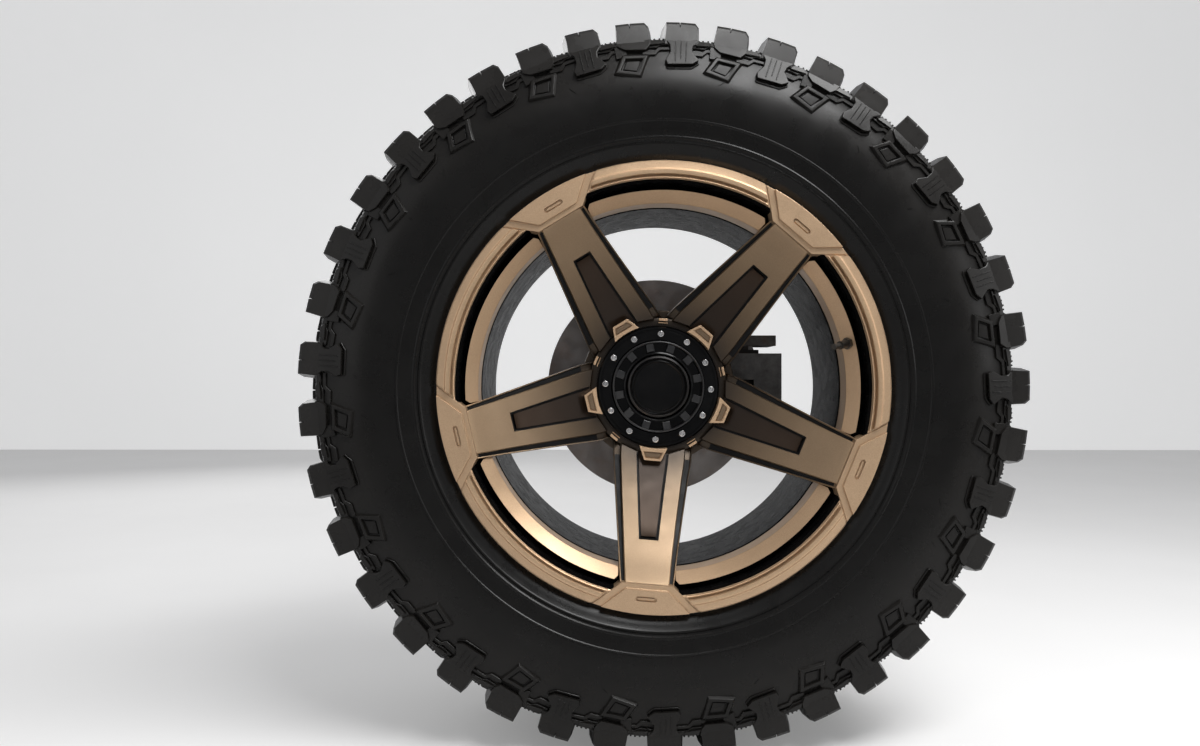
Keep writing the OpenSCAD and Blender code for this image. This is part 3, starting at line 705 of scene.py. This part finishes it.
def make_tyre():
    """The carcass with its lugs, biters, gap details and crown blocks on both halves."""
    a, b, gap_parts = lug_a(), lug_b(), ejectors()
    hook, step = crown_blocks()
    marks = mould_marks()
    models = (a, b, gap_parts, hook, step, marks)
    outboard = Matrix.Translation((0, 0, MID_Z))
    inboard = outboard @ Matrix.Scale(-1, 4, (0, 0, 1))
    body = carcass()
    body.data.transform(outboard)
    parts = [body]
    for k in range(2 * LUG_PAIRS):
        turn, after = pitch_turn(k), pitch_turn(k + 1)
        half = (turn + after) / 2
        lug = b if k % 2 == 0 else a
        for side, shift in ((outboard, 0.0), (inboard, INBOARD_SHIFT)):
            parts.append(copied(lug, side @ clockwise(turn + shift)))
            parts.append(copied(gap_parts, side @ clockwise(half + shift)))
            parts.append(copied(step, side @ clockwise(half + shift)))
            parts.append(copied(hook, side @ clockwise(turn + shift + HOOK_SHIFT)))
    parts += [copied(marks, outboard), copied(marks, inboard)]
    for model in models:
        bpy.data.objects.remove(model)
    return joined("tyre_piece", parts)


# --------------------------------------------------------------- wheel face

LIP_R = 297.3
LIP_IN_R = 273.3
LIP_Z = 208.4
CAP_ROOM_R = 88.5
ROOT_RING_R = 98.0
ROOT_R, ROOT_Z, ROOT_SLOPE = 97.0, 84.0, 0.49
TIP_R, TIP_Z = 266.3, 202.4
BOW = (TIP_Z - ROOT_Z - ROOT_SLOPE * (TIP_R - ROOT_R)) / (TIP_R - ROOT_R) ** 2
POCKET = ((103.0, 22.5), (208.0, 13.0))
POCKET_DEPTH = 9.0
POCKET_LINE = 2.7
LAYER = ((90, 10.0), (266, 5.6))


def eased(value):
    value = min(1.0, max(0.0, value))
    return value * value * (3 - 2 * value)


def spoke_front(y):
    """Height of a spoke's face, which rises to meet its pad on the lip."""
    curve = ROOT_Z + ROOT_SLOPE * (y - ROOT_R) + BOW * (y - ROOT_R) ** 2
    return curve + 4.2 * eased((y - 222) / 44)


def between(y, start, end):
    (y0, v0), (y1, v1) = start, end
    return v0 + (v1 - v0) * (y - y0) / (y1 - y0)


def spoke_half(y):
    return between(y, (60, 51), (268.3, 28.5))


def spoke_section(y, pocket, round_start=False):
    """Half outline of a spoke's cut: the face, the groove beside it, the lower layer and the
    hollow back."""
    half = spoke_half(y)
    layer = between(y, *LAYER)
    sunk = POCKET_DEPTH if pocket else 0.0
    floor = between(min(max(y, POCKET[0][0]), POCKET[1][0]), *POCKET)
    trench = half + layer - 1.7
    right = [(0, sunk), (floor, sunk), (floor + 0.3, 0), (half - 1.6, 0), (half - 0.2, 1.3),
             (half, 12.0), (trench, 12.4), (trench + 0.3, 5.8), (trench + 1.4, 5.2),
             (half + layer + 0.6, 7.2), (half + layer, 38), (half + layer - 6, 42),
             (half + layer - 10, 27), (0, 27)]
    loop = right + [(-x, d) for x, d in reversed(right[1:-1])]
    points = []
    for x, down in loop:
        along = math.sqrt(ROOT_RING_R ** 2 - x * x) if round_start else y
        points.append((x, along, spoke_front(along) - down))
    return points


def make_spokes():
    """The spokes, each with a sunken pocket, a groove beside its face and a hollow back."""
    start, end = POCKET[0][0], POCKET[1][0]
    cuts = [spoke_section(ROOT_RING_R, True, True)]
    cuts += [spoke_section(start + (end - start) * k / 8, True) for k in range(9)]
    cuts.append(spoke_section(end + 0.4, False))
    cuts += [spoke_section(y, False) for y in (220, 232, 243, 253, 260, 265.6)]
    spoke = loft("spokes", cuts)
    bevelled(spoke, 0.5, 1, 40)
    return set_around(spoke, spoke_turns())


def along_pocket(name, section):
    """A part that follows the spokes' pockets; its outline comes from half width and floor."""
    start, end, steps = ROOT_RING_R - 2, POCKET[1][0], 12
    cuts = []
    for k in range(steps + 1):
        y = start + (end - start) * k / steps
        outline = section(between(y, *POCKET), spoke_front(y) - POCKET_DEPTH)
        if k == steps:
            y -= 0.3
        cuts.append([(x, y, z) for x, z in outline])
    return loft(name, cuts)


def make_pocket_shade_sheets():
    """Black sheets that paint the shade in the spokes' pockets and in the grooves beside the faces."""
    def channel(half, floor):
        out, inner = half - 0.05, half - 0.7
        low, base, top = floor - 1.0, floor + 0.4, floor + 7.6
        return [(-out, low), (out, low), (out, top), (inner, top), (inner, base), (-inner, base),
                (-inner, top), (-out, top)]
    lining = along_pocket("pocket_shade_sheets", channel)
    end = POCKET[1][0]
    half, floor = between(end, *POCKET) - 0.05, spoke_front(end) - POCKET_DEPTH
    outline = [(-half, end - 0.8), (half, end - 0.8), (half, end + 0.3), (-half, end + 0.3)]
    end_plate = plate("end", outline, floor - 1, floor + 7.4)
    strip = []
    for k in range(19):
        y = ROOT_RING_R + 4 + 9.0 * k
        near = spoke_half(y) + 0.05
        far = spoke_half(y) + between(y, *LAYER) - 1.75
        low, top = spoke_front(y) - 13, spoke_front(y) - 9
        strip.append([(near, y, low), (far, y, low), (far, y, top), (near, y, top)])
    right = loft("strip", strip)
    left = copied(right, Matrix.Scale(-1, 4, (1, 0, 0)))
    return set_around(joined("pocket_shade_sheets", [lining, end_plate, right, left]), spoke_turns())


def make_pocket_floors():
    """The floors of the spokes' pockets, darkened as painted shade, with a gap left round them."""
    def slab(half, floor):
        side = half - POCKET_LINE
        return [(-side, floor), (side, floor), (side, floor + 2.6), (-side, floor + 2.6)]
    floors = along_pocket("pocket_floors", slab)
    for vertex in floors.data.vertices:
        if vertex.co.y > POCKET[1][0] - 1:
            vertex.co.y -= POCKET_LINE
    bevelled(floors, 0.4, 1)
    return set_around(floors, spoke_turns())


PAD_SIDE = ((28.5, 264.6), (58.6, 291.0))


def arc(radius, start, end, steps):
    """Points of an arc; turns in degrees clockwise from up."""
    out = []
    for k in range(steps + 1):
        turn = math.radians(start + (end - start) * k / steps)
        out.append((radius * math.sin(turn), radius * math.cos(turn)))
    return out


def flared(inner_half, inner_y, corner, radius):
    """A pad's outline: straight inner edge, slanted sides and the lip's arc."""
    turn = math.degrees(math.atan2(*corner))
    return [(-inner_half, inner_y), (inner_half, inner_y)] + arc(radius, turn, -turn, 12)


def make_pads():
    """The flared pads that carry the spokes' ends, each on a lower, wider one."""
    pad = plate("pad", flared(PAD_SIDE[0][0], PAD_SIDE[0][1], PAD_SIDE[1], 296.9), 180, LIP_Z)
    bevelled(pad, 1.4, 2)
    slot_r, slot_half, slot_y = 3.3, 10.5, 276.5
    turns = [math.pi * k / 8 for k in range(9)]
    right = [(slot_half + slot_r * math.sin(t), slot_y - slot_r * math.cos(t)) for t in turns]
    left = [(-slot_half - slot_r * math.sin(t), slot_y + slot_r * math.cos(t)) for t in turns]
    capsule = right + left
    cut(pad, plate("slot", capsule, LIP_Z - 3.4, LIP_Z + 3))
    mark = [(x * 0.82, slot_y + (y - slot_y) * 0.45) for x, y in capsule]
    pad = joined("pad", [pad, bevelled(plate("mark", mark, LIP_Z - 5, LIP_Z - 1.2), 0.3, 1)])
    low = plate("low_pad", flared(33.5, 258.0, (70.0, 288.4), 296.7), 176, LIP_Z - 3.9)
    bevelled(low, 1.2, 2)
    return set_around(joined("lip_pads", [pad, low]), spoke_turns())


def side_turn(radius, offset):
    """Turn, in degrees, at which a line beside a pad crosses a radius."""
    (x0, y0), (x1, y1) = PAD_SIDE
    length = math.hypot(x1 - x0, y1 - y0)
    dx, dy = (x1 - x0) / length, (y1 - y0) / length
    px, py = x0 + offset * dy, y0 - offset * dx
    half_b = px * dx + py * dy
    along = -half_b + math.sqrt(half_b ** 2 - (px * px + py * py) + radius ** 2)
    return math.degrees(math.atan2(px + along * dx, py + along * dy))


def swept(name, profile, start, end, steps):
    """An outline of radius and height swept round the axle between two slanted ends."""
    sections = []
    for k in range(steps + 1):
        part = k / steps
        section = []
        for r, z in profile:
            turn = math.radians(start(r) + (end(r) - start(r)) * part)
            section.append((r * math.sin(turn), r * math.cos(turn), z))
        sections.append(section)
    return loft(name, sections)


def make_lip():
    """The lip between the pads: flat outer band, ridge, groove and thin inner rim; its finish paints
    highlights on the ridge and inner rim and shade in the groove.
    """
    base = lathe("lip_base", [(LIP_IN_R, 186), (LIP_IN_R, LIP_Z - 6.4), (LIP_IN_R + 1, LIP_Z - 5.4),
                              (295.6, LIP_Z - 5.4), (LIP_R, LIP_Z - 7), (LIP_R, 199.4), (283.6, 199.4),
                              (283.6, 186)], 240)
    top = LIP_Z
    panel = swept("lip", [(273.4, top - 7), (273.4, top - 1.6), (273.9, top - 0.6), (274.8, top - 0.6),
                          (275.3, top - 1.4), (275.7, top - 5), (277.7, top - 5), (278.2, top + 0.8),
                          (279.0, top + 1.9), (284.4, top + 2.3), (286.0, top + 0.3), (286.4, top - 0.6),
                          (295.4, top - 1.5), (297.0, top - 3.0), (297.0, top - 7)],
                  lambda r: side_turn(r, 11.5), lambda r: SPOKE_STEP - side_turn(r, 11.5), 30)
    bevelled(panel, 0.35, 1, 50)
    panels = set_around(panel, spoke_turns())
    return joined("lip_ring", [base, panels])


def make_ledges():
    """The bright sloping ledges between the spokes, deep inside the lip."""
    def end_turn(r):
        return math.degrees(math.atan2(38.5 + 1.1 * max(0.0, r - 256.5), r))
    slope = [(261.4, 189.4), (256.5, 183.85), (246.4, 172.4), (246.4, 138), (261.4, 158)]
    ledge = swept("ledges", slope, end_turn, lambda r: SPOKE_STEP - end_turn(r), 30)
    bevelled(ledge, 0.35, 1, 25)
    return set_around(ledge, spoke_turns())


def make_hub():
    """The hub, with a short web between each two spokes."""
    hub = lathe("hub", [(36, 0), (100, 0), (101.5, 4), (101.5, 66), (99, 71.5), (95, 73),
                        (CAP_ROOM_R, 73), (CAP_ROOM_R, 69), (45, 68), (42, 64), (42, 22), (36, 22)], 120)
    web = plate("web", [(-22, 92), (22, 92), (10, 112), (-10, 112)], 18, 62)
    bevelled(web, 3, 2)
    return joined("hub_piece", [hub, set_around(web, spoke_turns(HALF_STEP))])


def make_tabs():
    """Slotted tabs at the spokes' feet and twin bars between the spokes, round the cap."""
    bar = bevelled(plate("bar", [(-6.5, 95.2), (6.5, 95.2), (6.5, 98.8), (-6.5, 98.8)], 66, 77), 0.9, 2)
    line = bevelled(plate("line", [(-7, 91.6), (7, 91.6), (7, 93), (-7, 93)], 66, 75.5), 0.45, 1)
    bars = set_around(joined("bars", [bar, line]), spoke_turns(HALF_STEP))
    foot = arc(CAP_ROOM_R, -13.2, 13.2, 8)
    tab = plate("hub_tabs", foot + [(12.0, 106.0), (-12.0, 106.0)], 74, 93)
    bevelled(tab, 0.9, 2)
    slot = plate("slot", [(-14.2, 93.2), (14.2, 93.2), (10.2, 102.6), (-10.2, 102.6)], 88.8, 96)
    cut(tab, slot)
    tabs = set_around(tab, spoke_turns())
    return joined("hub_tabs", [tabs, bars])


def make_tab_inserts():
    """The dark raised panels in the tabs' slots."""
    panel = plate("tab_inserts", [(-12.8, 94.4), (12.8, 94.4), (9.2, 101.5), (-9.2, 101.5)], 86, 91.8)
    return set_around(bevelled(panel, 0.6, 1), spoke_turns())


def make_barrel():
    """The deep barrel: flanges, bead seats with humps, ramps and the drop centre."""
    profile = [(297, 200.2), (297.3, 197), (284, 196.4), (279.6, 192.6), (279.4, 178), (280.4, 175.5),
               (278.6, 172.4), (256, 140), (255.4, 137), (255.4, -22), (256, -26), (278.6, -84.4),
               (280.4, -87), (279.4, -90), (279.6, -104.6), (284, -108.4), (296, -108.6), (297.3, -110),
               (297.3, -116), (294.3, -120.4), (271, -120.4), (269.4, -118.6), (269.4, -84.4),
               (268.4, -80), (246.4, -28), (245.4, -24), (245.4, 136), (246.4, 141), (268.6, 171),
               (269.4, 174), (269.4, 200.2)]
    return lathe("rim_barrel_piece", profile, 240)


# ----------------------------------------------------------------- cap parts

BOLT_TURN = 3.0
CAP_BOLTS = 12
BOLT_STEP = 360 / CAP_BOLTS
BOLT_CIRCLE_R = 75.8


def bolt_turns():
    return [BOLT_TURN + BOLT_STEP * k for k in range(CAP_BOLTS)]


def make_cap():
    """The bolted cap: a flat plate with a chamfered rim and a sunken ring for the teeth."""
    profile = [(0, 74), (0, 70), (86.4, 70), (87, 71), (87, 78.2), (85.6, 80), (82.6, 80), (82.2, 79.3),
               (81, 79.3), (80.6, 80), (67.4, 80), (66.6, 79.2), (65.9, 77), (49.8, 77), (49.2, 91.4),
               (47.4, 92.2), (46.2, 91.4), (45.6, 80), (44.4, 76), (44.4, 74)]
    return lathe("centre_cap_piece", profile, 144)


def make_cap_teeth():
    """The satin ring round the bays, its twelve teeth and the dome's chamfered collar, in a lighter black:
    the teeth's grey, and painted highlight on the ring and the collar.
    """
    rim = lathe("rim", [(62.6, 76.5), (65.8, 76.5), (65.7, 90), (65.0, 92), (63.8, 92.4), (62.9, 91.6)],
                144)
    collar = lathe("collar", [(40.4, 78), (44.3, 78), (44.3, 90), (43.3, 93.6), (41.2, 95), (40.4, 94)],
                   144)
    # A tooth is as wide at every radius: half its width in degrees times millimetres
    middle, half_width = BOLT_STEP / 2, 310
    tooth = swept("tooth", [(49.6, 76.6), (49.6, 88.6), (52, 90.6), (62.8, 90.6), (62.8, 76.6)],
                  lambda r: middle - half_width / r, lambda r: middle + half_width / r, 2)
    bevelled(tooth, 0.8, 2)
    return joined("cap_teeth_piece", [set_around(tooth, bolt_turns()), rim, collar])


def make_dome():
    """The plain dome over the shaft: a thin groove and a faintly dished face."""
    profile = [(0, 76), (40.2, 76), (40.2, 94.2), (39.4, 94.8), (38.6, 93.6), (37.6, 92.6), (36.6, 93.2),
               (35.4, 93.2), (34.4, 92.4), (20, 92.8), (0, 93)]
    return lathe("cap_dome_piece", profile, 144)


def make_cap_bolts():
    """Socket-head bolts round the cap."""
    bolt = lathe("bolt", [(0, 74), (3, 74), (3, 79.5), (4.5, 80), (4.5, 84.6), (4.1, 85.2), (2.6, 85.2),
                          (2.4, 82), (0, 82)], 18)
    bevelled(bolt, 0.3, 1, 40)
    placed = copied(bolt, Matrix.Translation((0, BOLT_CIRCLE_R, 0)))
    bpy.data.objects.remove(bolt)
    placed.name = "cap_bolts_piece"
    return set_around(placed, bolt_turns())


# ----------------------------------------------------------------- the scene

STUDIO_SIZE = 24
BACKDROP_Y = 4.9


def lift_for_camera(finish, strength):
    """Lightens a studio surface as the camera sees it, without lighting the object."""
    finish.shader.inputs["Emission Color"].default_value = (0.93, 0.93, 0.92, 1)
    ray = finish.nodes.new("ShaderNodeLightPath")
    finish.links.new(finish.spread(ray.outputs["Is Camera Ray"], 0, 1, 0, strength),
                     finish.shader.inputs["Emission Strength"])


def studio_plane(name, finish, place, tilt=0.0):
    """One large plane of the studio."""
    bpy.ops.mesh.primitive_plane_add(size=STUDIO_SIZE, location=place, rotation=(math.radians(tilt), 0, 0))
    plane = bpy.context.object
    plane.name = name
    plane.data.materials.append(finish.material)


def lay_floor_and_backdrop():
    pale = Finish("studio_pale", 0.0, 0.65, specular=0.2)
    pale.base(pale.colour(pale.noise(0.8, 3), [(0.3, (0.62, 0.615, 0.61)), (0.7, (0.66, 0.655, 0.65))]))
    pale.rough(pale.noise(2, 3), 0.6, 0.7)
    lift_for_camera(pale, 0.2)
    white = Finish("studio_wall", 0.0, 0.8)
    white.base(white.colour(white.noise(0.5, 2), [(0.3, (0.86, 0.86, 0.855)), (0.7, (0.9, 0.9, 0.895))]))
    lift_for_camera(white, 0.35)
    studio_plane("floor", pale, (0, 0, FLOOR_Z))
    studio_plane("backdrop", white, (0, BACKDROP_Y, FLOOR_Z + STUDIO_SIZE / 2 - 0.1), 90)


def aimed(direction):
    """The turn that points a lamp or camera along a direction."""
    return Vector(direction).to_track_quat("-Z", "Y").to_euler()


def lamp(name, place, aim, width, power, height):
    data = bpy.data.lights.new(name, "AREA")
    data.energy = power
    data.shape = "RECTANGLE"
    data.size = width
    data.size_y = height
    obj = bpy.data.objects.new(name, data)
    bpy.context.scene.collection.objects.link(obj)
    obj.location = place
    obj.rotation_euler = aimed(Vector(aim) - Vector(place))


def hang_lamps():
    """A soft lamp overhead to the right, and weak ones at the sides and behind."""
    lamp("overhead", (0.95, -1.3, 1.85), (0, -0.35, 0), 2.1, 76, 0.8)
    lamp("right_side", (2.8, -1.6, 0.6), (0, -0.3, 0), 1.2, 9, 1.2)
    lamp("rear_soft", (-1.8, 2.7, 1.7), (0, 0, 0), 2.4, 34, 2.4)
    lamp("left_fill", (-2.8, -2.2, 0.9), (0, -0.3, 0), 2.4, 11, 2.4)


def fill_world():
    """Even light from all round; the camera itself sees a paler background."""
    world = bpy.data.worlds.new("studio")
    bpy.context.scene.world = world
    world.use_nodes = True
    nodes, links = world.node_tree.nodes, world.node_tree.links
    light = nodes["Background"]
    light.inputs["Color"].default_value = (0.95, 0.96, 1.0, 1)
    light.inputs["Strength"].default_value = 0.4
    seen = nodes.new("ShaderNodeBackground")
    seen.inputs["Color"].default_value = (0.93, 0.93, 0.925, 1)
    seen.inputs["Strength"].default_value = 1.0
    ray = nodes.new("ShaderNodeLightPath")
    mix = nodes.new("ShaderNodeMixShader")
    links.new(ray.outputs["Is Camera Ray"], mix.inputs["Fac"])
    links.new(light.outputs[0], mix.inputs[1])
    links.new(seen.outputs[0], mix.inputs[2])
    links.new(mix.outputs[0], nodes["World Output"].inputs["Surface"])


def set_camera():
    """The camera stands almost square to the wheel."""
    data = bpy.data.cameras.new("camera")
    data.sensor_width = 36
    data.lens = 28.0
    data.clip_start = 0.05
    camera = bpy.data.objects.new("camera", data)
    bpy.context.scene.collection.objects.link(camera)
    camera.location = (-0.0763, -1.6824, 0.0095)
    camera.rotation_euler = aimed((-0.00536, 1, 0.0075))
    bpy.context.scene.camera = camera


def wheel_piece(obj, finish, slot, *nodes, smooth=32):
    """Finishes a piece that turns with the wheel."""
    finished(obj, FINISH[finish], "wheel", nodes, smooth)


bpy.context.scene.view_settings.view_transform = "Standard"
lay_floor_and_backdrop()
hang_lamps()
fill_world()
set_camera()

wheel_piece(make_tyre(), "tyre", "tyre", "tyre", smooth=27)
wheel_piece(make_spokes(), "spoke_shade_bronze", "bronze_paint", "wheel_face")
wheel_piece(make_pocket_floors(), "pocket_shade_bronze", "bronze_paint", "wheel_face")
wheel_piece(make_pocket_shade_sheets(), "pocket_shade_black", "bronze_paint", "wheel_face")
wheel_piece(make_pads(), "bronze_paint", "bronze_paint", "wheel_face")
wheel_piece(make_lip(), "lip_light_and_shade_bronze", "bronze_paint", "wheel_face")
wheel_piece(make_ledges(), "bronze_paint", "bronze_paint", "wheel_face")
wheel_piece(make_hub(), "spoke_shade_bronze", "bronze_paint", "wheel_face")
wheel_piece(make_tabs(), "tab_highlight_bronze", "bronze_paint", "wheel_face")
wheel_piece(make_tab_inserts(), "insert_bronze", "bronze_paint", "wheel_face")
wheel_piece(make_barrel(), "barrel_black", "barrel_black", "rim_barrel")
wheel_piece(make_cap(), "cap_black", "cap_black", "centre_cap")
wheel_piece(make_cap_teeth(), "cap_grey_and_highlight", "cap_black", "centre_cap", "cap_dome")
wheel_piece(make_dome(), "cap_black", "cap_black", "cap_dome")
wheel_piece(make_cap_bolts(), "bright_steel", "bright_steel", "cap_bolts")
for node, width, finish in (
        ("valve_stem", 0.6, "valve_metal"), ("wheel_nuts", 1.0, "bright_steel"),
        ("wheel_studs", 0.5, "dark_steel"), ("hub_flange", 0.8, "dark_steel"),
        ("brake_disc", 0.6, "disc_iron"), ("stub_shaft", 1.2, "forged_steel"),
        ("axle_nut", 0.8, "dark_steel"), ("joint_cross", 0.8, "forged_steel"),
        ("knuckle", 2.0, "chassis_black"), ("bearing_housing", 1.0, "dark_steel"),
        ("bearing_bolts", 0.8, "dark_steel"), ("dust_shield", 0.4, "shield_steel"),
        ("caliper_bracket", 1.2, "bracket_iron"), ("brake_caliper", 2.2, "caliper_iron"),
        ("inner_pad", 0.6, "pad_lining"), ("outer_pad", 0.6, "pad_lining"),
        ("guide_pins", 0.5, "bright_steel"), ("upper_joint", 1.0, "joint_steel"),
        ("lower_joint", 1.0, "joint_steel"), ("axle_yoke", 2.5, "chassis_black")):
    dressed(node, width, finish)
